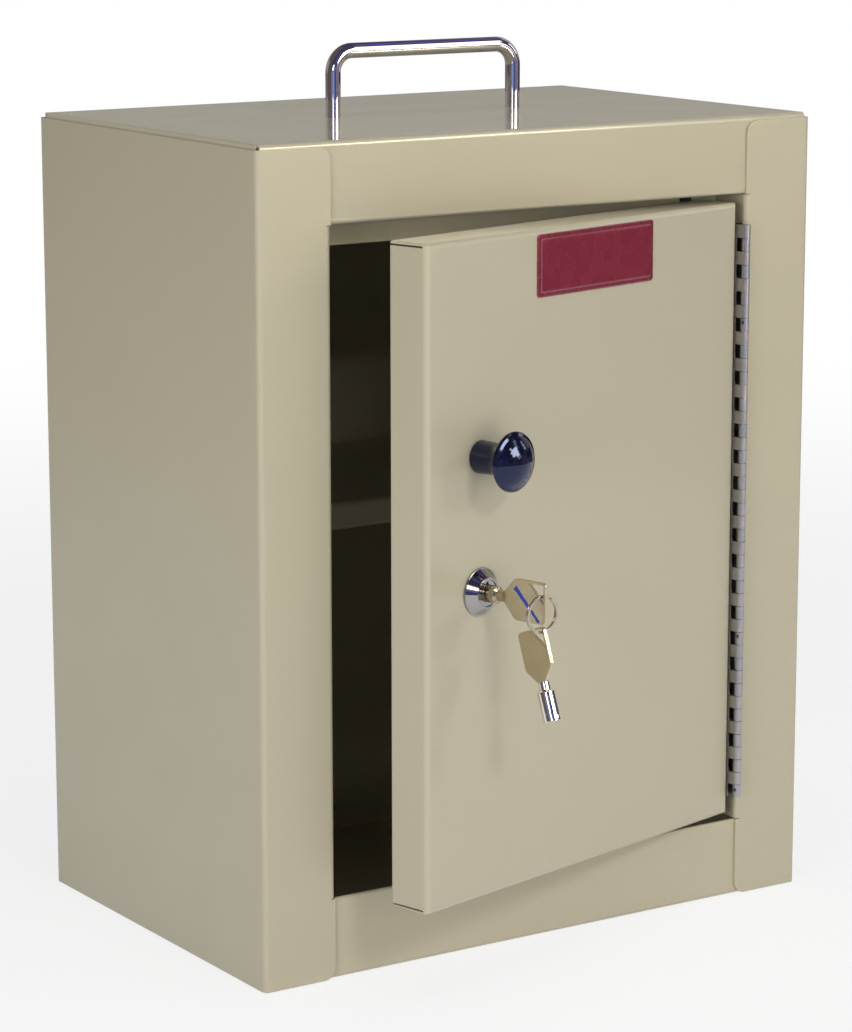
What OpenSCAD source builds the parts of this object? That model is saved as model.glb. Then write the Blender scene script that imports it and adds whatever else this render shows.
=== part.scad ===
// Lockable steel medicine cabinet with a folded sheet body, an inset hinged door,
// a wire carrying handle and a tubular cam lock with two keys on a split ring.
// Origin: centre of the base. +Z up, the door faces -Y, +X to the right.

/* [Cabinet body] */
// Width over the side panels
cab_w = 304.8; // [280:0.1:420]
// Height from the base to the top panel
cab_h = 381; // [360:0.1:480]
// Depth from the stile faces to the back lips
cab_d = 203.2; // [170:0.1:300]
// Thickness of the body sheet
sheet_t = 1.2; // [0.9:0.1:1.6]
// Outside radius of the side panel bends
side_bend_r = 2.5; // [2:0.1:3.5]
// Outside radius of the top, bottom and shelf bends
pan_bend_r = 2.4; // [2:0.1:3.2]
// Width of the front stiles
stile_w = 37.6; // [30:0.1:40]
// Height of the front rail above the door
rail_top_h = 36.8; // [30:0.1:50]
// Height of the sill below the door
sill_h = 38.2; // [30:0.1:50]
// Radius of the stiles' inner top and bottom corners
stile_corner_r = 6; // [3:0.5:10]
// Depth from the stile faces to the door stop
stop_depth = 23; // [23:0.1:30]
// Width of the door stop
stop_w = 12; // [8:0.1:14]
// Depth of the folded hem on the sill
hem_depth = 8; // [5:0.5:14]
// Height of the hidden flanges that join the panels
flange_h = 12; // [8:0.5:16]
// Clearance between folded panels where they pass
panel_gap = 0.3; // [0.2:0.05:0.6]

/* [Shelf] */
// Height of the shelf's top surface
shelf_z = 205.5; // [120:0.5:260]
// Distance of the shelf's front edge behind the stile faces
shelf_setback = 65.6; // [50:0.1:90]
// Height of the shelf's front lip
shelf_lip = 13; // [10:0.5:20]

/* [Wall fixing] */
// Distance between the fixing holes across the back
wall_pitch_x = 203.2; // [120:0.1:240]
// Distance between the fixing holes up the back
wall_pitch_z = 254; // [120:0.1:300]
// Diameter of the fixing holes
wall_hole_d = 6.4; // [4.5:0.1:9]

/* [Door] */
// Gap above and below the door
door_gap_z = 3.8; // [2.5:0.1:8]
// Gap between the door and the stile at the lock
door_gap_lock = 8.4; // [6.5:0.1:9.5]
// Depth of the door's folded edges
door_depth = 21.2; // [19:0.1:21.4]
// Distance of the door's face behind the stile faces
door_recess = 0.8; // [0.2:0.1:1]
// Thickness of the door sheet
door_t = 1.2; // [0.9:0.1:1.6]
// Outside radius of the door's bends
door_bend_r = 2.6; // [2:0.1:3.5]
// Width of the slits where the door's edges meet
door_slit = 0.7; // [0.4:0.1:1.2]
// Angle that the door stands ajar
door_ajar = 14.4; // [5:0.1:40]

/* [Continuous hinge] */
// Length of one knuckle pair
hinge_pitch = 12.7; // [10:0.1:16]
// Thickness of the leaves
leaf_t = 0.8; // [0.6:0.05:0.8]
// Width of a leaf from the pin's centre
leaf_w = 18; // [12:0.5:20]
// Diameter of the pin
pin_d = 2.4; // [2:0.1:2.4]
// Wall of the knuckles
knuckle_wall = 0.8; // [0.7:0.05:0.85]
// Distance of the pin's centre in front of the door's face
pin_forward = 3.7; // [3:0.1:5]
// Distance of the hinge's lower end above the door's lower edge
hinge_up = 8.8; // [2:0.1:9.4]
// Clearance beside each knuckle
knuckle_gap = 0.2; // [0.1:0.05:0.4]
// Depth of the window behind each knuckle
hinge_window = 2; // [1:0.1:3]

/* [Carrying handle] */
// Distance between the handle's legs
handle_pitch = 101.6; // [80:0.1:160]
// Diameter of the handle's wire
handle_d = 7.2; // [6:0.1:9.5]
// Height of the bar's centre above the top panel
handle_rise = 30.5; // [24:0.5:45]
// Centre line radius of the handle's bends
handle_bend_r = 10; // [8:0.5:14]
// Diameter of the handle, knob and cam screws
screw_d = 4; // [3:0.1:4.2]
// Length of the handle and knob screws
screw_l = 10; // [7:0.5:12]

/* [Pull knob] */
// Height of the knob's centre above the base
knob_z = 244; // [220:0.5:280]
// Diameter of the knob's head
knob_head_d = 26.8; // [22:0.1:32]
// Diameter of the knob's neck
knob_neck_d = 14.2; // [11:0.1:16]
// Radius of the flare from the knob's neck to its rim
knob_flare_r = 9; // [7:0.1:11]
// Distance of the head's widest ring from the door
knob_reach = 19.5; // [16:0.1:26]
// Rise of the knob's dome
knob_dome_h = 5.4; // [3:0.1:8]

/* [Nameplate] */
// Width of the nameplate
plate_w = 81; // [50:0.5:120]
// Height of the nameplate
plate_h = 28; // [18:0.5:40]
// Distance of the nameplate's top edge below the door's top
plate_drop = 2.4; // [2:0.1:20]
// Distance of the nameplate's centre from the door's middle, towards the hinge
plate_shift = 4.1; // [0:0.1:20]
// Thickness of the nameplate's border
plate_t = 0.6; // [0.4:0.1:1.2]
// Height of the nameplate's raised field
plate_field_h = 0.5; // [0.3:0.1:1]

/* [Lock] */
// Distance of the lock and knob axis from the door's free edge
lock_from_edge = 34.5; // [31:0.1:38]
// Height of the lock axis above the base
lock_z = 183.4; // [120:0.1:210]
// Diameter of the bezel at the door
bezel_d = 21.8; // [21.5:0.1:26]
// Diameter of the bezel's front ring
bezel_front_d = 14; // [13.6:0.1:16]
// Height of the bezel
bezel_h = 5.2; // [4:0.1:8]
// Diameter of the lock body
lock_body_d = 18.8; // [17.5:0.1:19]
// Width of the lock body across its flats
lock_flats = 16; // [14.5:0.1:16.5]
// Diameter of the turning plug
plug_d = 12; // [11.6:0.1:12.4]
// Distance of the plug's face behind the bezel's front ring
plug_recess = 0.6; // [0.3:0.1:1]
// Step in the plug's radius that keeps it from being pushed in
plug_step = 1; // [0.5:0.1:1.2]
// Length of the cam from the lock axis to its tip
cam_reach = 40; // [37.5:0.5:41]
// Width of the cam
cam_w = 14; // [12:0.5:16]
// Thickness of the cam
cam_t = 2; // [1.5:0.1:2.5]
// Side of the plug's square drive
drive_side = 7; // [6:0.1:7.5]
// Clearance of the cam behind the door stop
cam_gap = 0.5; // [0.3:0.1:0.8]
// Width of the lock nut across its flats
nut_af = 24; // [22:0.5:26]
// Thickness of the lock nut
nut_t = 4; // [3:0.1:6]

/* [Door bumper] */
// Width of the rubber bumper
bumper_w = 6.5; // [5:0.1:10]
// Height of the rubber bumper
bumper_h = 8; // [5:0.1:9]
// Thickness of the rubber bumper
bumper_t = 0.6; // [0.4:0.1:0.6]
// Distance of the bumper's centre from the hinge stile
bumper_from_stile = 18.6; // [14:0.1:60]

/* [Keys] */
// Outside diameter of a key's barrel
key_barrel_d = 7.8; // [7.2:0.1:8]
// Bore of a key's barrel
key_bore_d = 5.4; // [5:0.1:5.6]
// Length of a key's barrel
key_barrel_l = 14; // [12:0.5:18]
// Length of barrel that enters the plug
key_insert = 7; // [5:0.5:8]
// Diameter of a key's neck
key_neck_d = 5; // [4.4:0.1:5.2]
// Length of a key's neck beyond the barrel
key_neck_l = 3.5; // [2.5:0.5:5]
// Length of a key's bow
bow_l = 23.5; // [22:0.5:28]
// Width of a key's bow
bow_w = 18.6; // [17:0.1:21]
// Thickness of a key's bow
bow_t = 1.8; // [1.4:0.1:2]
// Outside diameter of the split ring
ring_od = 17; // [16:0.1:22]
// Radial thickness of the split ring's wire
ring_wire = 1.1; // [0.9:0.1:1.2]
// Angle that the ring's plane is turned from square to the inserted key
ring_yaw = 10.4; // [0:0.1:11]
// Angle that the spare key leans as it hangs
spare_lean = 21; // [16:0.5:26]
// Radial clearance of turning fits
run_fit = 0.05; // [0.03:0.01:0.08]
// Radial clearance of screws and of the key in the plug
loose_fit = 0.1; // [0.08:0.01:0.15]

/* [Hidden] */
$fn = 48;
eps = 0.01;

// Planes of the body
x_out = cab_w / 2;
x_in = x_out - sheet_t;
x_open = x_out - stile_w;
y_front = -cab_d / 2;
y_back = cab_d / 2;
y_rail = y_front + sheet_t;
y_panel = y_back - sheet_t;
y_wrap = y_panel - sheet_t;
y_stop = y_front + stop_depth;
z_rail = cab_h - rail_top_h;
z_side_top = cab_h - pan_bend_r;
stop_bend_in = 1;
rail_bend_r = 1.8;
pan_x = x_in - pan_bend_r;
front_x = x_out - side_bend_r;
lap = 1;

// Continuous hinge
leaf_gap = 0.05;
knuckle_r = pin_d / 2 + run_fit + knuckle_wall;
leaf_off = knuckle_r + leaf_gap;
door_right = x_open - 2 * leaf_off;
door_left = door_gap_lock - x_open;
door_w = door_right - door_left;
door_front = y_front + door_recess;
door_back = door_front + door_depth;
door_bottom = sill_h + door_gap_z;
door_top = z_rail - door_gap_z;
door_h = door_top - door_bottom;
axis_x = x_open - leaf_off;
axis_y = door_front - pin_forward;
hinge_pairs = floor((door_h - 2 * hinge_up) / hinge_pitch);
hinge_l = hinge_pairs * hinge_pitch;
hinge_z = door_bottom + hinge_up;

// Lock, knob and cam
lock_x = door_left + lock_from_edge;
hole_gap = 0.2;
end_play = 0.4;
cam_depth = y_stop + sheet_t + cam_gap - door_front;
housing_l = cam_depth - end_play;
plug_face = bezel_h - plug_recess;
keyway_l = key_insert + 1;
keyway_floor = 2.5;
plug_step_z = plug_face - keyway_l - keyway_floor;
screw_head_d = 2 * screw_d;
screw_head_h = 0.65 * screw_d;
screw_room = 2;
cam_screw_l = 9;

// Keys
key_l = key_barrel_l + key_neck_l + bow_l;
hole_edge = 1;
hole_leg = 8.6;
link_edge = 1.45;
link_side = bow_w / 2 - hole_edge - hole_leg + link_edge / tan(22.5);
spare_side = bow_w / 2 - hole_edge - link_edge;
link_end = key_l - hole_edge - link_edge;
ring_r = (ring_od - ring_wire) / 2;
turn_t = 0.75;

// A quarter ring of sheet: outside radius r, thickness t, turned by a degrees
module bend(r, t, a) {
    rotate(a) intersection() {
        difference() {
            circle(r);
            circle(r - t);
        }
        square(r + 1);
    }
}

// A rectangle from one corner to the opposite one
module box2(a, b) {
    translate(a) square(b - a);
}

// A block from one corner to the opposite one
module box3(a, b) {
    translate(a) cube(b - a);
}

// A section drawn in Y and Z, run along X from x0 to x1
module along_x(x0, x1) {
    translate([x0, 0, 0]) rotate([90, 0, 90]) linear_extrude(x1 - x0) children();
}

// A section drawn in X and Z, run along Y from y0 to y1
module along_y(y0, y1) {
    translate([0, y1, 0]) rotate([90, 0, 0]) linear_extrude(y1 - y0) children();
}

// Both hands of a shape on the right
module both_sides() {
    children();
    mirror([1, 0, 0]) children();
}

// The door and all that rides on it, turned from shut to ajar
module ajar() {
    translate([axis_x, axis_y, 0]) rotate(door_ajar) translate([-axis_x, -axis_y, 0]) children();
}

// The lock's own frame: +Z points out of the door's face, +Y up
module at_lock() {
    ajar() translate([lock_x, door_front, lock_z]) rotate([90, 0, 0]) children();
}

// Plan of a right side panel over its full height
module side_plan() {
    r = side_bend_r;
    box2([x_in, y_front + r], [x_out, y_back - r]);
    translate([x_out - r, y_front + r]) bend(r, sheet_t, -90);
    translate([x_out - r, y_back - r]) bend(r, sheet_t, 0);
    box2([x_open + r, y_front], [x_out - r, y_front + sheet_t]);
    box2([x_out - flange_h, y_panel], [x_out - r, y_back]);
}

// Plan of the stile's edge beside the door, with or without the stop
module stile_edge_plan(with_stop) {
    r = side_bend_r;
    translate([x_open + r, y_front + r]) bend(r, sheet_t, 180);
    box2([x_open + r, y_front], [x_open + r + lap, y_rail]);
    if (with_stop) {
        box2([x_open, y_front + r], [x_open + sheet_t, y_stop - stop_bend_in]);
        translate([x_open - stop_bend_in, y_stop - stop_bend_in])
            bend(stop_bend_in + sheet_t, sheet_t, 0);
        box2([x_open - stop_w, y_stop], [x_open - stop_bend_in, y_stop + sheet_t]);
    } else {
        box2([x_open, y_front + r], [x_open + sheet_t, y_stop + sheet_t]);
    }
}

// What rounds a stile's inner corner, drawn in X and Z with the corner at the origin
module corner_cut(r) {
    difference() {
        translate([-1, -r]) square(r + 1);
        translate([r, -r]) circle(r);
    }
}

// A right side panel: wall, back lip, front stile and folded edge
module side_panel(with_stop) {
    difference() {
        union() {
            translate([0, 0, panel_gap]) linear_extrude(z_side_top - panel_gap) side_plan();
            box3([x_open, y_front, panel_gap], [x_open + side_bend_r + lap, y_rail, sill_h]);
            box3([x_open, y_front, z_rail], [x_open + side_bend_r + lap, y_rail, z_side_top]);
            translate([0, 0, sill_h + panel_gap])
                linear_extrude(z_rail - sill_h - 2 * panel_gap) stile_edge_plan(with_stop);
        }
        along_y(y_front - 1, y_rail + 1) {
            translate([x_open, z_side_top]) corner_cut(stile_corner_r);
            translate([x_open, panel_gap]) mirror([0, 1]) corner_cut(stile_corner_r);
        }
        // The stop ends below the strip that crosses over the door
        if (with_stop) box3([x_open - stop_w - 1, y_stop - stop_bend_in, z_rail - stop_w - panel_gap],
                            [x_open + 2 * sheet_t, y_stop + 2 * sheet_t, z_rail]);
    }
}

module side_panel_left() {
    color("#b3ab90") mirror([1, 0, 0]) side_panel(true);
}

module side_panel_right() {
    color("#b3ab90") side_panel(false);
}

// Section of a pan's plate, front bend and back flange, with the plate's outside at z = 0
module pan_section(y0, y1, front_h) {
    r = pan_bend_r;
    box2([y0 + r, -sheet_t], [y1 - r, 0]);
    translate([y0 + r, -r]) bend(r, sheet_t, 90);
    box2([y0, -front_h], [y0 + sheet_t, -r]);
    translate([y1 - r, -r]) bend(r, sheet_t, 0);
    box2([y1 - sheet_t, -flange_h], [y1, -r]);
}

// Section of a pan's right end flange, with the plate's outside at z = 0
module pan_end_section() {
    translate([pan_x, -pan_bend_r]) bend(pan_bend_r, sheet_t, 0);
    box2([pan_x - lap, -sheet_t], [pan_x, 0]);
    box2([x_in - sheet_t, -flange_h], [x_in, -pan_bend_r]);
}

// A plate folded down on all four sides, its outside face at z = 0
module pan(y0, y1, front_h) {
    along_x(-pan_x, pan_x) pan_section(y0, y1, front_h);
    both_sides() {
        along_y(y0 + pan_bend_r, y1 - pan_bend_r) pan_end_section();
        along_x(pan_x - lap, front_x) intersection() {
            pan_section(y0, y1, front_h);
            box2([y0, -front_h], [y0 + pan_bend_r - eps, 0]);
        }
    }
}

// Section of the rail's lower fold and the stop strip above the door
module rail_stop_section() {
    r = rail_bend_r;
    box2([y_rail, z_rail + r], [y_rail + sheet_t, z_rail + r + lap]);
    translate([y_rail + r, z_rail + r]) bend(r, sheet_t, 180);
    box2([y_rail + r, z_rail], [y_stop - stop_bend_in, z_rail + sheet_t]);
    translate([y_stop - stop_bend_in, z_rail - stop_bend_in])
        bend(stop_bend_in + sheet_t, sheet_t, 0);
    box2([y_stop, z_rail - stop_w], [y_stop + sheet_t, z_rail - stop_bend_in]);
}

module top_panel() {
    stop_x = x_open - panel_gap;
    color("#a7a491") difference() {
        union() {
            difference() {
                translate([0, 0, cab_h]) pan(y_rail, y_wrap, rail_top_h);
                box3([-stop_x, y_rail - 1, z_rail - 1],
                     [stop_x, y_rail + sheet_t + 1, z_rail + rail_bend_r]);
            }
            along_x(-stop_x, stop_x) rail_stop_section();
        }
        for (side = [-1, 1])
            translate([side * handle_pitch / 2, 0, cab_h - 2 * sheet_t])
                cylinder(d = screw_d + 2 * hole_gap, h = 3 * sheet_t);
    }
}

module bottom_panel() {
    sill_x = x_open - panel_gap;
    color("#a7a491") {
        difference() {
            mirror([0, 0, 1]) pan(y_rail, y_wrap, sill_h);
            box3([-sill_x, y_rail - 1, sill_h - sheet_t], [sill_x, y_rail + sheet_t + 1, sill_h + 1]);
        }
        // Closed hem along the sill
        along_x(-sill_x, sill_x) {
            translate([y_rail + sheet_t, sill_h - sheet_t]) intersection() {
                circle(sheet_t);
                translate([-sheet_t, 0]) square([2 * sheet_t, sheet_t]);
            }
            box2([y_rail + sheet_t, sill_h - hem_depth], [y_rail + 2 * sheet_t, sill_h - sheet_t]);
            box2([y_rail, sill_h - hem_depth], [y_rail + sheet_t, sill_h - sheet_t]);
        }
    }
}

module back_panel() {
    w = x_in - sheet_t - panel_gap;
    color("#a7a491") difference() {
        box3([-w, y_wrap, panel_gap], [w, y_panel, cab_h - panel_gap]);
        for (sx = [-1, 1], sz = [-1, 1])
            translate([sx * wall_pitch_x / 2, y_wrap - 1, cab_h / 2 + sz * wall_pitch_z / 2])
                rotate([-90, 0, 0]) cylinder(d = wall_hole_d, h = sheet_t + 2);
    }
}

// Shelf: a pan whose front lip is folded back at its lower edge
module shelf() {
    y0 = y_front + shelf_setback;
    r = rail_bend_r;
    fold = 7;
    color("#a7a491") translate([0, 0, shelf_z]) {
        difference() {
            pan(y0, y_wrap, shelf_lip);
            box3([-x_out, y0 - 1, -shelf_lip - 1], [x_out, y0 + sheet_t + eps, r - shelf_lip]);
        }
        along_x(-front_x, front_x) {
            box2([y0, r - shelf_lip], [y0 + sheet_t, r - shelf_lip + lap]);
            translate([y0 + r, r - shelf_lip]) bend(r, sheet_t, 180);
            box2([y0 + r, -shelf_lip], [y0 + fold, sheet_t - shelf_lip]);
        }
    }
}

// Rubber pad that stops the door's top edge on the stop strip
module door_bumper() {
    top = z_rail - 2.8;
    x = x_open - bumper_from_stile;
    color("#17171a")
        box3([x - bumper_w / 2, y_stop - bumper_t, top - bumper_h],
             [x + bumper_w / 2, y_stop, top]);
}

// Half of the carrying handle: a leg, a quarter bend and half of the bar
module handle_half() {
    leg_x = handle_pitch / 2;
    bend_x = leg_x - handle_bend_r;
    bend_z = handle_rise - handle_bend_r;
    translate([leg_x, 0, 0]) cylinder(d = handle_d, h = bend_z);
    translate([bend_x, 0, bend_z]) rotate([90, 0, 0])
        rotate_extrude(angle = 90) translate([handle_bend_r, 0]) circle(d = handle_d);
    translate([0, 0, handle_rise]) rotate([0, 90, 0]) cylinder(d = handle_d, h = bend_x);
}

module carry_handle() {
    tapped_l = screw_l - sheet_t + screw_room;
    color("#c9c9d2") translate([0, 0, cab_h]) difference() {
        both_sides() handle_half();
        for (side = [-1, 1]) translate([side * handle_pitch / 2, 0, -1])
            cylinder(d = screw_d + 2 * loose_fit, h = tapped_l + 1);
    }
}

// A pan head screw, its head's bearing face at z = 0 and its shank along +Z
module pan_screw(shank_l) {
    head_r = screw_head_d / 2;
    dome_r = (head_r * head_r + screw_head_h * screw_head_h) / (2 * screw_head_h);
    slot_w = 0.25 * screw_d;
    difference() {
        union() {
            cylinder(d = screw_d, h = shank_l);
            intersection() {
                translate([0, 0, dome_r - screw_head_h]) sphere(dome_r);
                translate([0, 0, -screw_head_h]) cylinder(r = head_r - 0.2, h = screw_head_h);
            }
        }
        for (a = [0, 90]) rotate(a)
            translate([-0.55 * screw_d, -slot_w / 2, -screw_head_h - 1])
                cube([1.1 * screw_d, slot_w, 0.6 * screw_head_h + 1]);
    }
}

module handle_screws() {
    color("#b9b9be") for (side = [-1, 1])
        translate([side * handle_pitch / 2, 0, cab_h - sheet_t]) pan_screw(screw_l);
}

// Places a shape at one leaf's knuckles, starting at the given height within each pair
module at_knuckles(start) {
    for (i = [0 : hinge_pairs - 1])
        translate([axis_x, axis_y, hinge_z + i * hinge_pitch + start + knuckle_gap / 2])
            children();
}

// A leaf against the plane x = face, with windows where the other leaf's knuckles turn
module hinge_leaf(side, start, bore_r) {
    l = hinge_pitch / 2 - knuckle_gap;
    other = hinge_pitch / 2 - start;
    face = axis_x + side * leaf_off;
    difference() {
        union() {
            box3([min(face, face - side * leaf_t), axis_y, hinge_z + knuckle_gap / 2],
                 [max(face, face - side * leaf_t), axis_y + leaf_w,
                  hinge_z + hinge_l - knuckle_gap / 2]);
            at_knuckles(start) cylinder(r = knuckle_r, h = l);
        }
        at_knuckles(start) translate([0, 0, -1]) cylinder(r = bore_r, h = l + 2);
        at_knuckles(other) translate([-2 * knuckle_r, -1, -knuckle_gap])
            cube([4 * knuckle_r, 1 + knuckle_r + hinge_window, l + 2 * knuckle_gap]);
    }
}

module hinge_frame_leaf() {
    color("#b7b3bd") hinge_leaf(1, 0, pin_d / 2);
}

module hinge_door_leaf() {
    color("#b7b3bd") ajar() hinge_leaf(-1, hinge_pitch / 2, pin_d / 2 + run_fit);
}

module hinge_pin() {
    color("#8f8f96") translate([axis_x, axis_y, hinge_z + knuckle_gap / 2])
        cylinder(d = pin_d, h = hinge_l - knuckle_gap);
}

// A pan's outside with rounded front edges, drawn with the front at y = 0
module pan_outline(w, d, r) {
    translate([r, 0]) square([w - 2 * r, d]);
    translate([0, r]) square([w, d - r]);
    for (x = [r, w - r]) translate([x, r]) circle(r);
}

// The door's block, shrunk by inset on its front and edges
module door_block(inset, depth) {
    r = door_bend_r - inset;
    w = door_w - 2 * inset;
    h = door_h - 2 * inset;
    translate([door_left + inset, door_front + inset, door_bottom + inset]) intersection() {
        linear_extrude(h) pan_outline(w, depth, r);
        rotate([90, 0, 90]) linear_extrude(w) rotate(90) mirror([0, 1]) pan_outline(h, depth, r);
    }
}

module door_panel() {
    corner_r = 1.5;
    color("#b9b196") ajar() difference() {
        door_block(0, door_depth);
        door_block(door_t, door_depth + 1);
        // Slits where the side edges meet the top and bottom edges
        for (x = [door_left, door_right], z = [door_bottom + door_t, door_top - door_t - door_slit])
            box3([x - door_t - eps, door_front + door_bend_r, z],
                 [x + door_t + eps, door_back + 1, z + door_slit]);
        // Small radius on the four corners of the face
        along_y(door_front - 1, door_back + 1)
            for (sx = [0, 1], sz = [0, 1])
                translate([sx ? door_right : door_left, sz ? door_top : door_bottom])
                    mirror([sx, 0]) mirror([0, 1 - sz]) corner_cut(corner_r);
        // Flatted hole for the lock body and round hole for the knob screw
        translate([lock_x, door_front - 1, lock_z]) rotate([-90, 0, 0]) intersection() {
            cylinder(r = lock_body_d / 2 + hole_gap, h = door_t + 2);
            translate([-lock_flats / 2 - hole_gap, -lock_body_d, 0])
                cube([lock_flats + 2 * hole_gap, 2 * lock_body_d, door_t + 2]);
        }
        translate([lock_x, door_front - 1, knob_z]) rotate([-90, 0, 0])
            cylinder(d = screw_d + 2 * hole_gap, h = door_t + 2);
    }
}

// A bare plate: flat border and a raised field with sloped edges
module nameplate() {
    corner_r = 1.6;
    border = 2.2;
    slope = 0.5;
    color("#8e1230") ajar()
        translate([(door_left + door_right) / 2 + plate_shift, door_front,
                   door_top - plate_drop - plate_h / 2])
            rotate([90, 0, 0]) {
                linear_extrude(plate_t) round_rect(plate_w, plate_h, corner_r);
                translate([0, 0, plate_t]) linear_extrude(plate_field_h)
                    round_rect(plate_w - 2 * border, plate_h - 2 * border, slope);
            }
}

// A rectangle with round corners, centred
module round_rect(w, h, r) {
    square([w - 2 * r, h], center = true);
    square([w, h - 2 * r], center = true);
    for (x = [-1, 1], y = [-1, 1]) translate([x * (w / 2 - r), y * (h / 2 - r)]) circle(r);
}

// Points of an arc from angle a0 to a1
function arc(c, r, a0, a1, n) = [for (i = [0 : n])
    c + r * [cos(a0 + (a1 - a0) * i / n), sin(a0 + (a1 - a0) * i / n)]];

// Half outline of the mushroom knob: foot, drawn-in neck, flare that meets the rim, and dome
module knob_outline() {
    rim = 1.3;
    foot = 0.8;
    rim_x = knob_head_d / 2 - rim;
    neck_r = knob_neck_d / 2;
    foot_r = neck_r + 0.4;
    flare_x = neck_r + knob_flare_r;
    flare_h = sqrt(pow(knob_flare_r + rim, 2) - pow(flare_x - rim_x, 2));
    meet = atan2(flare_h, rim_x - flare_x);
    dome_r = (rim_x * rim_x + knob_dome_h * knob_dome_h) / (2 * knob_dome_h);
    dome_a = asin(rim_x / dome_r);
    polygon(concat(
        [[0, 0]],
        arc([foot_r - foot, foot], foot, -90, 0, 4),
        arc([flare_x, knob_reach - flare_h], knob_flare_r, 180, meet, 10),
        arc([rim_x, knob_reach], rim, meet - 180, 60, 6),
        arc([0, knob_reach + rim * 0.8 + knob_dome_h - dome_r], dome_r, 90 - dome_a + 3, 90, 10)
    ));
}

module pull_knob() {
    color("#101018") ajar() translate([lock_x, door_front, knob_z]) rotate([90, 0, 0]) difference() {
        rotate_extrude() knob_outline();
        translate([0, 0, -1])
            cylinder(d = screw_d + 2 * loose_fit, h = screw_l - door_t + screw_room + 1);
    }
}

module knob_screw() {
    color("#b9b9be") ajar() translate([lock_x, door_front + door_t, knob_z]) rotate([90, 0, 0])
        pan_screw(screw_l);
}

// Bezel cone in front of the door and flatted body behind it, bored for the plug
module lock_housing() {
    rim_h = 0.9;
    lead = 0.5;
    color("#c4c4cc") at_lock() difference() {
        union() {
            cylinder(d = bezel_d, h = rim_h);
            translate([0, 0, rim_h])
                cylinder(d1 = bezel_d - 2 * lead, d2 = bezel_front_d, h = bezel_h - rim_h);
            translate([0, 0, -housing_l]) intersection() {
                cylinder(d = lock_body_d, h = housing_l + rim_h / 2);
                translate([-lock_flats / 2, -lock_body_d, 0])
                    cube([lock_flats, 2 * lock_body_d, housing_l + rim_h / 2]);
            }
        }
        translate([0, 0, plug_step_z]) cylinder(r = plug_d / 2 + run_fit, h = housing_l + bezel_h);
        translate([0, 0, -housing_l - 1])
            cylinder(r = plug_d / 2 - plug_step + run_fit, h = housing_l + bezel_h);
    }
}

module lock_nut() {
    hex_d = nut_af / cos(30);
    color("#b9b9be") at_lock() translate([0, 0, -door_t - nut_t]) difference() {
        intersection() {
            cylinder(d = hex_d, h = nut_t, $fn = 6);
            cylinder(d1 = hex_d - 2.4, d2 = hex_d + 2 * nut_t - 2.4, h = nut_t);
        }
        translate([0, 0, -1]) cylinder(r = lock_body_d / 2 + loose_fit, h = nut_t + 2);
    }
}

// Plug with a ring-shaped keyway in front, a square drive and a screw hole behind
module lock_plug() {
    nib_w = 1.4;
    color("#b0b0b8") at_lock() difference() {
        union() {
            translate([0, 0, plug_step_z + panel_gap])
                cylinder(d = plug_d, h = plug_face - plug_step_z - panel_gap);
            translate([0, 0, -cam_depth])
                cylinder(r = plug_d / 2 - plug_step, h = cam_depth + plug_face - 1);
            translate([-drive_side / 2, -drive_side / 2, -cam_depth - cam_t])
                cube([drive_side, drive_side, cam_t + eps]);
        }
        translate([0, 0, plug_face - keyway_l]) {
            difference() {
                cylinder(r = key_barrel_d / 2 + loose_fit, h = keyway_l + 1);
                translate([0, 0, -1]) cylinder(r = key_bore_d / 2 - loose_fit, h = keyway_l + 3);
            }
            translate([-nib_w / 2, 0, 0]) intersection() {
                cube([nib_w, plug_d / 2 - 0.9, keyway_l + 1]);
                translate([0, key_barrel_d / 2 - 0.4, 0]) cube([nib_w, plug_d, keyway_l + 1]);
            }
        }
        translate([0, 0, -cam_depth - cam_t - 1])
            cylinder(d = screw_d + 2 * loose_fit, h = cam_screw_l + screw_room);
    }
}

// Cam, hanging down when the lock is open, with a square hole on the plug's drive
module lock_cam() {
    tip_r = 3;
    hole = drive_side + 2 * loose_fit;
    color("#b9b9be") at_lock() translate([0, 0, -cam_depth - cam_t]) linear_extrude(cam_t) difference() {
        union() {
            circle(d = 1.3 * cam_w);
            translate([-cam_w / 2, tip_r - cam_reach]) square([cam_w, cam_reach - tip_r]);
            translate([tip_r - cam_w / 2, -cam_reach]) square([cam_w - 2 * tip_r, tip_r]);
            for (x = [-1, 1]) translate([x * (cam_w / 2 - tip_r), tip_r - cam_reach]) circle(tip_r);
        }
        square(hole, center = true);
    }
}

module cam_screw() {
    washer_t = 1;
    washer_d = 12;
    color("#a9a9ae") at_lock() translate([0, 0, -cam_depth - cam_t]) {
        translate([0, 0, -washer_t]) difference() {
            cylinder(d = washer_d, h = washer_t);
            translate([0, 0, -1]) cylinder(d = screw_d - 0.2, h = washer_t + 2);
        }
        translate([0, 0, -washer_t]) pan_screw(cam_screw_l);
    }
}

// Key barrel with its tip at z = 0: a tube with a locating nib and a turned neck
module barrel_shape() {
    bore_l = key_barrel_l - 3;
    cone_h = 1;
    nib_w = 1;
    nib_out = 0.6;
    difference() {
        union() {
            cylinder(d = key_barrel_d, h = key_barrel_l - cone_h);
            translate([0, 0, key_barrel_l - cone_h])
                cylinder(d1 = key_barrel_d, d2 = key_neck_d, h = cone_h);
            cylinder(d = key_neck_d, h = key_barrel_l + key_neck_l);
            translate([-nib_w / 2, key_barrel_d / 2 - 0.4, 0.8]) cube([nib_w, 0.4 + nib_out, 1.6]);
        }
        translate([0, 0, -1]) cylinder(d = key_bore_d, h = bore_l + 1);
    }
}

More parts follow.
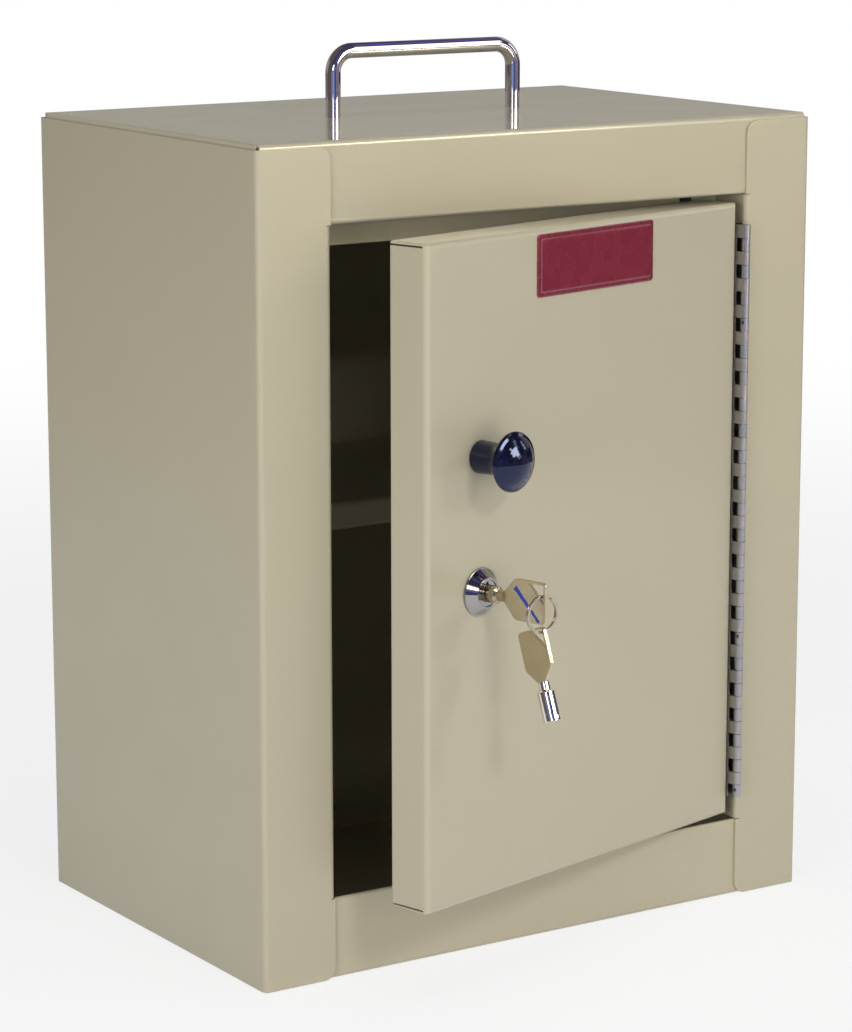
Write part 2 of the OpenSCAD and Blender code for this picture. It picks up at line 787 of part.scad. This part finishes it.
// Key bow: a plate in the Y-Z plane with tapered shoulders and a three-cornered hole
module bow_shape() {
    z0 = key_barrel_l + key_neck_l;
    shoulder = 6.5;
    half = bow_w / 2;
    r = 2.2;
    hole = [half - hole_edge, key_l - hole_edge];
    rotate([90, 0, 90]) translate([0, 0, -bow_t / 2]) linear_extrude(bow_t) difference() {
        polygon(concat(
            [[-key_neck_d / 2, z0], [key_neck_d / 2, z0], [half - 0.6, z0 + shoulder - 0.8],
             [half, z0 + shoulder + 0.6]],
            arc([half - r, key_l - r], r, 0, 90, 6),
            arc([r - half, key_l - r], r, 90, 180, 6),
            [[-half, z0 + shoulder + 0.6], [0.6 - half, z0 + shoulder - 0.8]]
        ));
        polygon([hole, hole - [hole_leg, 0], hole - [0, hole_leg]]);
    }
}

// Places a key in the plug: tip inside, bow standing upright
module in_lock() {
    at_lock() translate([0, 0, plug_face - key_insert]) children();
}

// The split ring's own frame: centre at the origin, plane X-Y, link to the key at +Y
module at_ring() {
    in_lock() translate([0, link_side, link_end]) rotate([0, -ring_yaw, 0])
        translate([0, -ring_r, 0]) children();
}

// Places the spare key on the ring's lowest point, leaning as its weight hangs
module on_ring() {
    at_ring() translate([0, -ring_r, 0]) rotate([-spare_lean, 0, 0]) rotate([-90, 0, 0])
        translate([0, 0, -link_end]) mirror([0, 1, 0]) translate([0, -spare_side, 0]) children();
}

module key_barrel() {
    color("#cfcfd4") in_lock() barrel_shape();
}

module key_bow() {
    color("#a89f86") in_lock() bow_shape();
}

// Two turns of flat wire with a groove between them and offset ends
module key_ring() {
    end_gap = 14;
    color("#c8c8cc") at_ring() difference() {
        rotate_extrude() translate([ring_r, 0]) difference() {
            square([ring_wire, 2 * turn_t], center = true);
            for (side = [-1, 1]) translate([side * ring_wire / 2, 0])
                rotate(45) square(0.3, center = true);
        }
        for (turn = [0, 1]) rotate(30 + 28 * turn) translate([0, -0.35, turn ? 0 : -2 * turn_t])
            cube([ring_od, 0.7, 2 * turn_t]);
    }
}

module spare_key_barrel() {
    color("#cfcfd4") on_ring() barrel_shape();
}

module spare_key_bow() {
    color("#a89f86") on_ring() bow_shape();
}

side_panel_left();
side_panel_right();
top_panel();
bottom_panel();
back_panel();
shelf();
door_bumper();
carry_handle();
handle_screws();
hinge_frame_leaf();
hinge_pin();
hinge_door_leaf();
door_panel();
nameplate();
pull_knob();
knob_screw();
lock_housing();
lock_nut();
lock_plug();
lock_cam();
cam_screw();
key_barrel();
key_bow();
key_ring();
spare_key_barrel();
spare_key_bow();
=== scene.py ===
"""Looks of the lockable medicine cabinet: finishes, light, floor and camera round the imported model.

Metres, +Z up, the origin at the middle of the base, the front towards -Y. Headings are measured
from -Y towards +X, so the right side is at 90 and the back at 180 degrees.
"""
import math

import bpy
from mathutils import Matrix, Vector

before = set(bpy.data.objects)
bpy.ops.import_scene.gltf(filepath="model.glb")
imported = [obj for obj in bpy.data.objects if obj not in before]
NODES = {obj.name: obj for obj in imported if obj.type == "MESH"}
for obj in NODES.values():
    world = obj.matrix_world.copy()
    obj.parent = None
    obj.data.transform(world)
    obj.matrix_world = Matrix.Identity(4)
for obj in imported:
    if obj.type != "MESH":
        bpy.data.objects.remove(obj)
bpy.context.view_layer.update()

# The photograph's camera: place, turn from +Y towards +X, downward tilt and roll in radians, and
# the lens and the sensor's width in millimetres
CAMERA_PLACE = Vector((-0.90287, -1.38101, 0.52005))
CAMERA_TURN = 0.5794
CAMERA_TILT = 0.2003
CAMERA_ROLL = -0.0011
CAMERA_LENS = 120.76
SENSOR_WIDTH = 36

# The open door's direction from the lock to the hinge; the flat of the key's bow faces along it
DOOR_ALONG = Vector((0.96858, 0.24869, 0))

# Stake marks on the hinge's barrel, and the two ends of the pen stroke on the key's bow
STAKES = [(0.1108, -0.10527, height) for height in (0.2838, 0.1314, 0.0547)]
STROKE_START = Vector((-0.06259, -0.16771, 0.18884))
STROKE_END = Vector((-0.05913, -0.18116, 0.17489))

# Sockets of a Mix node that mixes colours
MIX_FIRST, MIX_SECOND, MIX_RESULT = 6, 7, 2


# Node helpers

class Nodes:
    """A node tree with short ways to add nodes and links."""

    def __init__(self, tree):
        self.tree = tree
        self.tree.nodes.clear()

    def new(self, kind, **values):
        node = self.tree.nodes.new(kind)
        for key, value in values.items():
            node.inputs[key.replace("_", " ")].default_value = value
        return node

    def link(self, source, target):
        self.tree.links.new(source, target)

    def put(self, socket, value):
        """Sets a socket to a number, a colour or another node's output."""
        if isinstance(value, bpy.types.NodeSocket):
            self.link(value, socket)
        elif isinstance(value, tuple):
            socket.default_value = (*value, 1)
        else:
            socket.default_value = value

    def ramp(self, source, low, high, at=(0.35, 0.65), smooth=False):
        """A value remapped from the range at to low..high; most of a noise lies in 0.35..0.65."""
        node = self.new("ShaderNodeMapRange",
                        From_Min=at[0], From_Max=at[1], To_Min=low, To_Max=high)
        node.interpolation_type = "SMOOTHSTEP" if smooth else "LINEAR"
        self.link(source, node.inputs["Value"])
        return node.outputs["Result"]

    def mix(self, factor, first, second):
        """A colour mix; each of the two is a colour or an output."""
        node = self.new("ShaderNodeMix")
        node.data_type = "RGBA"
        self.put(node.inputs["Factor"], factor)
        self.put(node.inputs[MIX_FIRST], first)
        self.put(node.inputs[MIX_SECOND], second)
        return node.outputs[MIX_RESULT]

    def mix_shaders(self, factor, first, second):
        """The first surface where the factor is 0 and the second where it is 1."""
        node = self.new("ShaderNodeMixShader")
        self.link(factor, node.inputs["Fac"])
        self.link(first, node.inputs[1])
        self.link(second, node.inputs[2])
        return node.outputs[0]

    def math(self, operation, first, second=0.0):
        node = self.new("ShaderNodeMath")
        node.operation = operation
        self.put(node.inputs[0], first)
        self.put(node.inputs[1], second)
        return node.outputs[0]

    def vector(self, operation, first, second=(0, 0, 0), result="Value"):
        """A vector operation on an output and on another output or a fixed vector."""
        node = self.new("ShaderNodeVectorMath")
        node.operation = operation
        self.link(first, node.inputs[0])
        if isinstance(second, bpy.types.NodeSocket):
            self.link(second, node.inputs[1])
        else:
            node.inputs[1].default_value = second
        return node.outputs[result]

    def band(self, value, low, high, soft):
        """1 where the value lies between low and high, fading over soft at either end."""
        rise = self.ramp(value, 0, 1, at=(low - soft, low + soft), smooth=True)
        fall = self.ramp(value, 1, 0, at=(high - soft, high + soft), smooth=True)
        return self.math("MULTIPLY", rise, fall)

    def seen_directly(self):
        """1 for rays from the camera, and for those that a shiny or clear surface sends on."""
        path = self.new("ShaderNodeLightPath")
        total = path.outputs["Is Camera Ray"]
        for other in ("Is Glossy Ray", "Is Transmission Ray"):
            total = self.math("MAXIMUM", total, path.outputs[other])
        return total


class Shader(Nodes):
    """A material with one Principled surface, placed by the object's own coordinates."""

    def __init__(self, name):
        self.material = bpy.data.materials.new(name)
        self.material.use_nodes = True
        super().__init__(self.material.node_tree)
        self.output = self.new("ShaderNodeOutputMaterial")
        self.surface = self.new("ShaderNodeBsdfPrincipled")
        self.show(self.surface.outputs[0])
        self.place = self.new("ShaderNodeTexCoord").outputs["Object"]

    def show(self, shader):
        self.link(shader, self.output.inputs["Surface"])

    def source(self, name):
        """The output that feeds one of the surface's sockets."""
        return self.surface.inputs[name].links[0].from_socket

    def fixed(self, **values):
        """Constants on the surface's own sockets."""
        for key, value in values.items():
            self.surface.inputs[key.replace("_", " ")].default_value = value

    def colour(self, value):
        self.put(self.surface.inputs["Base Color"], value)

    def roughness(self, value):
        self.put(self.surface.inputs["Roughness"], value)

    def normal(self, value, coat=False):
        self.put(self.surface.inputs["Normal"], value)
        if coat:
            self.put(self.surface.inputs["Coat Normal"], value)

    def noise(self, scale, detail=2.0, rough=0.5, stretch=(1, 1, 1)):
        mapping = self.new("ShaderNodeMapping", Scale=stretch)
        self.link(self.place, mapping.inputs["Vector"])
        node = self.new("ShaderNodeTexNoise", Scale=scale, Detail=detail, Roughness=rough)
        self.link(mapping.outputs["Vector"], node.inputs["Vector"])
        return node.outputs["Fac"]

    def mottle(self, scale, detail, first, second, at=(0.35, 0.65)):
        """Two colours in soft patches, as large as the noise's scale makes them."""
        return self.mix(self.ramp(self.noise(scale, detail), 0, 1, at), first, second)

    def rounded(self, radius):
        """The normal of a surface whose sharp edges are eased by a radius."""
        bevel = self.new("ShaderNodeBevel", Radius=radius)
        bevel.samples = 6
        return bevel.outputs["Normal"]

    def edges(self, normal, spread=0.25):
        """1 on edges, where an eased normal leaves the flat one, and 0 on flat faces."""
        flat = self.new("ShaderNodeNewGeometry").outputs["Normal"]
        likeness = self.vector("DOT_PRODUCT", normal, flat)
        return self.ramp(likeness, 1.0, 0.0, at=(1 - spread, 1.0))

    def bump(self, height, strength, distance, base=None):
        node = self.new("ShaderNodeBump", Strength=strength, Distance=distance)
        self.link(height, node.inputs["Height"])
        if base is not None:
            self.link(base, node.inputs["Normal"])
        return node.outputs["Normal"]

    def along(self, point, direction):
        """Distance of the shaded point from a point, measured along a direction."""
        shift = self.vector("SUBTRACT", self.place, point, result="Vector")
        return self.vector("DOT_PRODUCT", shift, direction)

    def spot(self, point, radius):
        """1 inside a small round spot, 0 outside."""
        distance = self.vector("DISTANCE", self.place, point)
        return self.ramp(distance, 1, 0, at=(0.6 * radius, radius), smooth=True)


# Finishes

def enamel(name, colour, gloss, haze):
    """Stove enamel on sheet steel: even colour, fine orange peel, and on the bends thinner paint with
    a painted highlight that makes them lighter.
    """
    s = Shader(name)
    duller, brighter = (tuple(c * factor for c in colour) for factor in (0.975, 1.02))
    body = s.mottle(4, 3, colour, duller)
    body = s.mottle(1500, 2, body, brighter, at=(0.3, 0.7))
    eased = s.rounded(0.0007)
    # painted highlight: edges are mixed towards a pale cream, partly for thinner paint there and
    # partly for the light lines that the bends catch
    thin_paint_and_highlight = s.math("MULTIPLY", s.edges(eased), s.ramp(s.noise(160, 3), 0.12, 0.34))
    s.colour(s.mix(thin_paint_and_highlight, body, (0.74, 0.71, 0.60)))
    s.roughness(s.ramp(s.noise(26, 3), 0.34, 0.42))
    s.normal(s.bump(s.noise(900, 2, 0.45), strength=0.035, distance=0.0003, base=eased), coat=True)
    s.fixed(Coat_Weight=gloss, Coat_Roughness=haze)
    return s


def metal(name, colour, tint, roughness, grain=(1, 1, 1), grain_scale=300, relief=0.02, ease=0.0):
    """Bare or plated metal with fine scratches, stretched by the grain, and a tint in patches."""
    s = Shader(name)
    s.colour(s.mottle(60, 4, colour, tint))
    scratches = s.noise(grain_scale, 3, 0.6, grain)
    s.roughness(s.ramp(scratches, *roughness))
    eased = s.rounded(ease) if ease else None
    s.normal(s.bump(scratches, strength=relief, distance=0.0004, base=eased))
    s.fixed(Metallic=1.0)
    return s


def gloss_black(name):
    """Moulded plastic, almost black, glossy and rippled, with bluish reflections."""
    s = Shader(name)
    s.colour(s.mottle(90, 3, (0.004, 0.004, 0.010), (0.005, 0.005, 0.014)))
    s.roughness(s.ramp(s.noise(160, 3), 0.05, 0.10))
    s.normal(s.bump(s.noise(70, 2), strength=0.02, distance=0.001))
    s.fixed(IOR=1.7, Specular_Tint=(0.42, 0.50, 1.0, 1))
    return s


def rubber(name):
    """Matt black rubber with a fine grain."""
    s = Shader(name)
    s.colour(s.mottle(300, 3, (0.02, 0.02, 0.02), (0.035, 0.034, 0.033)))
    s.roughness(s.ramp(s.noise(200, 3), 0.6, 0.8))
    s.normal(s.bump(s.noise(900, 2), strength=0.2, distance=0.0003))
    return s


def plate_enamel(name):
    """Crimson enamel over a stamped plate, glossy, with a painted highlight that makes the rim paler.
    """
    s = Shader(name)
    body = s.mottle(1100, 3, (0.185, 0.004, 0.018), (0.16, 0.004, 0.015), at=(0.3, 0.7))
    eased = s.rounded(0.0011)
    # painted highlight: the rim's edges are mixed towards a pale pink
    painted_rim_highlight = s.math("MULTIPLY", s.edges(eased, spread=0.6), 0.6)
    s.colour(s.mix(painted_rim_highlight, body, (0.55, 0.28, 0.32)))
    s.roughness(s.ramp(s.noise(120, 3), 0.22, 0.34))
    s.normal(s.bump(s.noise(700, 3), strength=0.05, distance=0.0002, base=eased), coat=True)
    s.fixed(Coat_Weight=0.35, Coat_Roughness=0.10)
    return s


def add_stakes(s, radius=0.0010):
    """Adds the small dark dents that hold the hinge's pin."""
    marks = s.spot(STAKES[0], radius)
    for point in STAKES[1:]:
        marks = s.math("ADD", marks, s.spot(point, radius))
    s.colour(s.mix(marks, s.source("Base Color"), (0.12, 0.10, 0.11)))
    height = s.math("SUBTRACT", 1.0, marks)
    s.normal(s.bump(height, strength=0.8, distance=0.0004, base=s.source("Normal")))


def add_pen_stroke(s, width=0.0025, ink=(0.015, 0.04, 0.34)):
    """Adds a stroke of ink to the key's bow, broad at its start and narrow at its end."""
    length = (STROKE_END - STROKE_START).length
    run = (STROKE_END - STROKE_START).normalized()
    across = DOOR_ALONG.cross(run).normalized()
    wobble = s.ramp(s.noise(700, 2), -0.0002, 0.0002, at=(0.3, 0.7))
    side = s.math("ABSOLUTE", s.math("ADD", s.along(STROKE_START, across), wobble))
    taper = s.ramp(s.along(STROKE_START, run), 0.85, 1.7, at=(0, length))
    inside = s.ramp(s.math("MULTIPLY", side, taper), 1, 0, at=(0.35 * width, 0.55 * width))
    ends = s.band(s.along(STROKE_START, run), 0, length, soft=0.0004)
    mask = s.math("MULTIPLY", inside, ends)
    s.colour(s.mix(mask, s.source("Base Color"), ink))
    s.put(s.surface.inputs["Metallic"], s.ramp(mask, 1, 0, at=(0, 1)))


def finish(shader, *nodes):
    """Gives a finish to every slot of the named nodes."""
    for node in nodes:
        for slot in NODES[node].material_slots:
            slot.material = shader.material


# Hinge steel with draw marks along the pin, and the nickel of both bows
DRAWN = {"roughness": (0.36, 0.48), "grain": (1, 1, 0.12), "grain_scale": 420, "relief": 0.03,
         "ease": 0.0003}
NICKEL = {"colour": (0.69, 0.61, 0.43), "tint": (0.61, 0.53, 0.37), "roughness": (0.30, 0.42),
          "ease": 0.0004}

finish(enamel("enamel_body", (0.465, 0.422, 0.300), gloss=0.35, haze=0.22),
       "side_panel_left", "side_panel_right", "bottom_panel", "back_panel", "shelf")
finish(enamel("enamel_top", (0.462, 0.420, 0.300), gloss=0.9, haze=0.07), "top_panel")
finish(enamel("enamel_door", (0.468, 0.425, 0.304), gloss=0.5, haze=0.15), "door_panel")
staked = metal("hinge_metal", (0.43, 0.43, 0.47), (0.38, 0.38, 0.42), **DRAWN)
add_stakes(staked)
finish(staked, "hinge_frame_leaf")
finish(metal("hinge_metal_door", (0.46, 0.44, 0.45), (0.40, 0.39, 0.40), **DRAWN),
       "hinge_door_leaf", "hinge_pin")
finish(metal("chrome_handle", (0.68, 0.67, 0.70), (0.62, 0.61, 0.66), (0.03, 0.07), relief=0.003),
       "carry_handle")
finish(metal("chrome_lock", (0.39, 0.375, 0.37), (0.34, 0.33, 0.32), (0.06, 0.13), relief=0.006,
             ease=0.0003),
       "lock_housing", "lock_plug")
finish(metal("zinc", (0.58, 0.58, 0.56), (0.46, 0.47, 0.46), (0.25, 0.45), ease=0.0003),
       "handle_screws", "knob_screw", "lock_nut", "lock_cam", "cam_screw")
marked = metal("nickel_bow", **NICKEL)
add_pen_stroke(marked)
finish(marked, "key_bow")
finish(metal("nickel_bow_spare", **NICKEL), "spare_key_bow")
# The inserted key's barrel is coloured olive, a painted reflection of the beige door and bow beside
# it; the spare's barrel keeps the bright nickel
finish(metal("nickel_barrel", (0.50, 0.42, 0.29), (0.42, 0.36, 0.25), (0.16, 0.28), ease=0.0003),
       "key_barrel")
finish(metal("nickel_barrel_spare", (0.86, 0.85, 0.85), (0.76, 0.75, 0.74), (0.08, 0.16),
             ease=0.0003),
       "spare_key_barrel")
finish(metal("spring_steel", (0.60, 0.54, 0.45), (0.46, 0.40, 0.35), (0.12, 0.22), ease=0.0002),
       "key_ring")
finish(gloss_black("knob_plastic"), "pull_knob")
finish(rubber("bumper_rubber"), "door_bumper")
finish(plate_enamel("nameplate_red"), "nameplate")


# Studio

# What the lamps aim at
AIM = Vector((0, -0.1, 0.2))

# Soft boxes as seen from there: name, heading and height in degrees, distance, size, and the level,
# which is what the box adds to a white surface that faces it
LAMPS = [
    ("right_box", 46, 26, 2.0, (0.34, 0.34), 0.12),
    ("left_box", -4, 33, 2.0, (0.34, 0.34), 0.205),
    ("front_wall", -5, 6, 1.8, (0.8, 0.7), 0.155),
    ("side_wall", -65, 6, 1.5, (0.7, 0.7), 0.345),
    ("low_strip", -5, -8, 1.1, (0.6, 0.3), 0.12),
    ("top_box", -30, 84, 1.8, (0.9, 0.9), 0.24),
]

# What the metal mirrors: walls with bright boxes and dark strips on them, each over those before
# it. A row is the heading and the height, from and to in degrees, how soft its borders are, and
# the colour.
DARK_WALL = (0.072, 0.062, 0.12)
REFLECTIONS = [
    # the left wall, and paler parts of it and of the wall behind the cabinet
    ((-180, -62, -90, 90), 6, (0.13, 0.105, 0.10)),
    ((-200, -128, -90, 0), 5, (0.55, 0.52, 0.44)),
    ((-200, -112, 6, 34), 6, (0.39, 0.375, 0.33)),
    ((112, 200, 6, 34), 6, (0.39, 0.375, 0.33)),
    ((-132, -96, -60, -8), 3, (0.55, 0.50, 0.42)),
    # the lower half of the front, and the wall on the right
    ((-60, 85, -30, 9), 4, (0.27, 0.25, 0.33)),
    ((84, 130, 8, 50), 4, (0.52, 0.47, 0.40)),
    # boxes at the front right, for the bends of the sheets
    ((64, 76, 14, 31), 1.5, (2.4, 2.4, 2.5)),
    ((33, 44, 27, 40), 1.5, (2.2, 2.2, 2.2)),
    # lines along the handle's bar, and the window in the knob
    ((38, 54, 38, 48), 1.5, (2.2, 2.2, 2.2)),
    ((40, 66, 51, 56), 1.5, (0.05, 0.02, 0.05)),
    ((60, 100, 56, 66), 3, (0.15, 0.11, 0.42)),
    ((26, 41, 4, 16), 1, (2.4, 2.4, 2.3)),
    ((26, 41, -11, 2.5), 1, (0.26, 0.07, 0.05)),
    ((11, 36, 11, 31), 1.5, (15, 14, 10)),
    # strips on either side, mostly at the height that the handle's legs mirror, and a small box
    ((66, 110, -4, 8), 3, (0.03, 0.035, 0.09)),
    ((-4, 12, -3, 7), 2, (0.04, 0.08, 0.15)),
    ((-17, -9, -12, 52), 2, (0.10, 0.15, 0.60)),
    ((-60, -30, -14, 1), 1.5, (0.10, 0.09, 0.30)),
    ((-36, -20, -1, 7), 1.5, (0.30, 0.40, 0.80)),
    ((-41, -27, 10, 22), 1.5, (5, 5, 5)),
]


def add_object(name, data):
    thing = bpy.data.objects.new(name, data)
    bpy.context.scene.collection.objects.link(thing)
    return thing


def build_camera():
    forward = Vector((math.sin(CAMERA_TURN) * math.cos(CAMERA_TILT),
                      math.cos(CAMERA_TURN) * math.cos(CAMERA_TILT), -math.sin(CAMERA_TILT)))
    level = forward.cross(Vector((0, 0, 1))).normalized()
    upright = level.cross(forward)
    right = math.cos(CAMERA_ROLL) * level + math.sin(CAMERA_ROLL) * upright
    up = math.cos(CAMERA_ROLL) * upright - math.sin(CAMERA_ROLL) * level
    data = bpy.data.cameras.new("camera")
    data.lens = CAMERA_LENS
    data.sensor_width = SENSOR_WIDTH
    camera = add_object("camera", data)
    turn = Matrix((right, up, -forward)).transposed().to_4x4()
    camera.matrix_world = Matrix.Translation(CAMERA_PLACE) @ turn
    bpy.context.scene.camera = camera


def build_world(ambient=(0.245, 0.245, 0.25)):
    """White where it is seen, and a dim even light on everything else."""
    world = bpy.data.worlds.new("studio")
    bpy.context.scene.world = world
    world.use_nodes = True
    n = Nodes(world.node_tree)
    output = n.new("ShaderNodeOutputWorld")
    shown = n.new("ShaderNodeBackground", Color=(1, 1, 1, 1))
    light = n.new("ShaderNodeBackground", Color=(*ambient, 1))
    both = n.mix_shaders(n.seen_directly(), light.outputs[0], shown.outputs[0])
    n.link(both, output.inputs["Surface"])


def build_floor(half=6.0, drop=0.0002, near=0.80, fade=(0.5, 1.8)):
    """A pale floor just below the feet that keeps the shadow and fades to white further away."""
    mesh = bpy.data.meshes.new("floor")
    corners = [(-half, -half, 0), (half, -half, 0), (half, half, 0), (-half, half, 0)]
    mesh.from_pydata(corners, [], [(0, 1, 2, 3)])
    floor = add_object("floor", mesh)
    floor.location.z = -drop
    s = Shader("floor_paper")
    s.colour(s.mottle(3, 2, (0.82, 0.82, 0.82), (0.80, 0.80, 0.80)))
    s.fixed(Roughness=0.9)
    white = s.new("ShaderNodeEmission", Strength=1.0)
    glow = s.ramp(s.vector("LENGTH", s.place), near, 1, at=fade, smooth=True)
    seen = s.math("MULTIPLY", s.seen_directly(), glow)
    s.show(s.mix_shaders(seen, s.surface.outputs[0], white.outputs[0]))
    mesh.materials.append(s.material)


def sphere(radius, rings=24, parts=48):
    """The corners and faces of a sphere."""
    corners, faces = [], []
    for ring in range(rings + 1):
        rise = math.pi * (ring / rings - 0.5)
        for part in range(parts):
            turn = 2 * math.pi * part / parts
            corners.append((radius * math.cos(rise) * math.cos(turn),
                            radius * math.cos(rise) * math.sin(turn), radius * math.sin(rise)))
    for ring in range(rings):
        low, high = ring * parts, (ring + 1) * parts
        for part in range(parts):
            after = (part + 1) % parts
            faces.append((low + part, low + after, high + after, high + part))
    return corners, faces


def build_reflections(radius=1.25, middle=0.25):
    """A shell round the object that only mirror-like surfaces see."""
    mesh = bpy.data.meshes.new("reflections")
    corners, faces = sphere(radius)
    mesh.from_pydata(corners, [], faces)
    shell = add_object("reflections", mesh)
    shell.location = (0, 0, middle)
    for ray in ("camera", "diffuse", "transmission", "volume_scatter", "shadow"):
        setattr(shell, "visible_" + ray, False)
    s = Shader("studio_walls")
    s.material.cycles.emission_sampling = "NONE"
    split = s.new("ShaderNodeSeparateXYZ")
    s.link(s.place, split.inputs[0])
    x, y, z = split.outputs
    degrees = 180 / math.pi
    heading = s.math("MULTIPLY", s.math("ARCTAN2", x, s.math("MULTIPLY", y, -1.0)), degrees)
    height = s.math("MULTIPLY", s.math("ARCSINE", s.math("DIVIDE", z, radius)), degrees)
    colour = DARK_WALL
    for (left, right, low, high), soft, shade in REFLECTIONS:
        inside = s.math("MULTIPLY", s.band(heading, left, right, soft),
                        s.band(height, low, high, soft))
        colour = s.mix(inside, colour, shade)
    emission = s.new("ShaderNodeEmission", Strength=1.0)
    s.put(emission.inputs["Color"], colour)
    s.show(emission.outputs[0])
    mesh.materials.append(s.material)


def add_lamp(name, heading, height, distance, size, level):
    """A soft box that lights the object and shows neither in the picture nor in reflections."""
    data = bpy.data.lights.new(name, "AREA")
    data.shape = "RECTANGLE"
    data.size, data.size_y = size
    data.energy = level * math.pi ** 2 * distance ** 2
    lamp = add_object(name, data)
    turn, rise = math.radians(heading), math.radians(height)
    toward = Vector((math.sin(turn) * math.cos(rise), -math.cos(turn) * math.cos(rise),
                     math.sin(rise)))
    lamp.location = AIM + distance * toward
    lamp.rotation_euler = (AIM - lamp.location).to_track_quat("-Z", "Y").to_euler()
    lamp.visible_glossy = False
    lamp.visible_camera = False


build_camera()
build_world()
build_floor()
build_reflections()
for row in LAMPS:
    add_lamp(*row)
bpy.context.scene.view_settings.view_transform = "Standard"
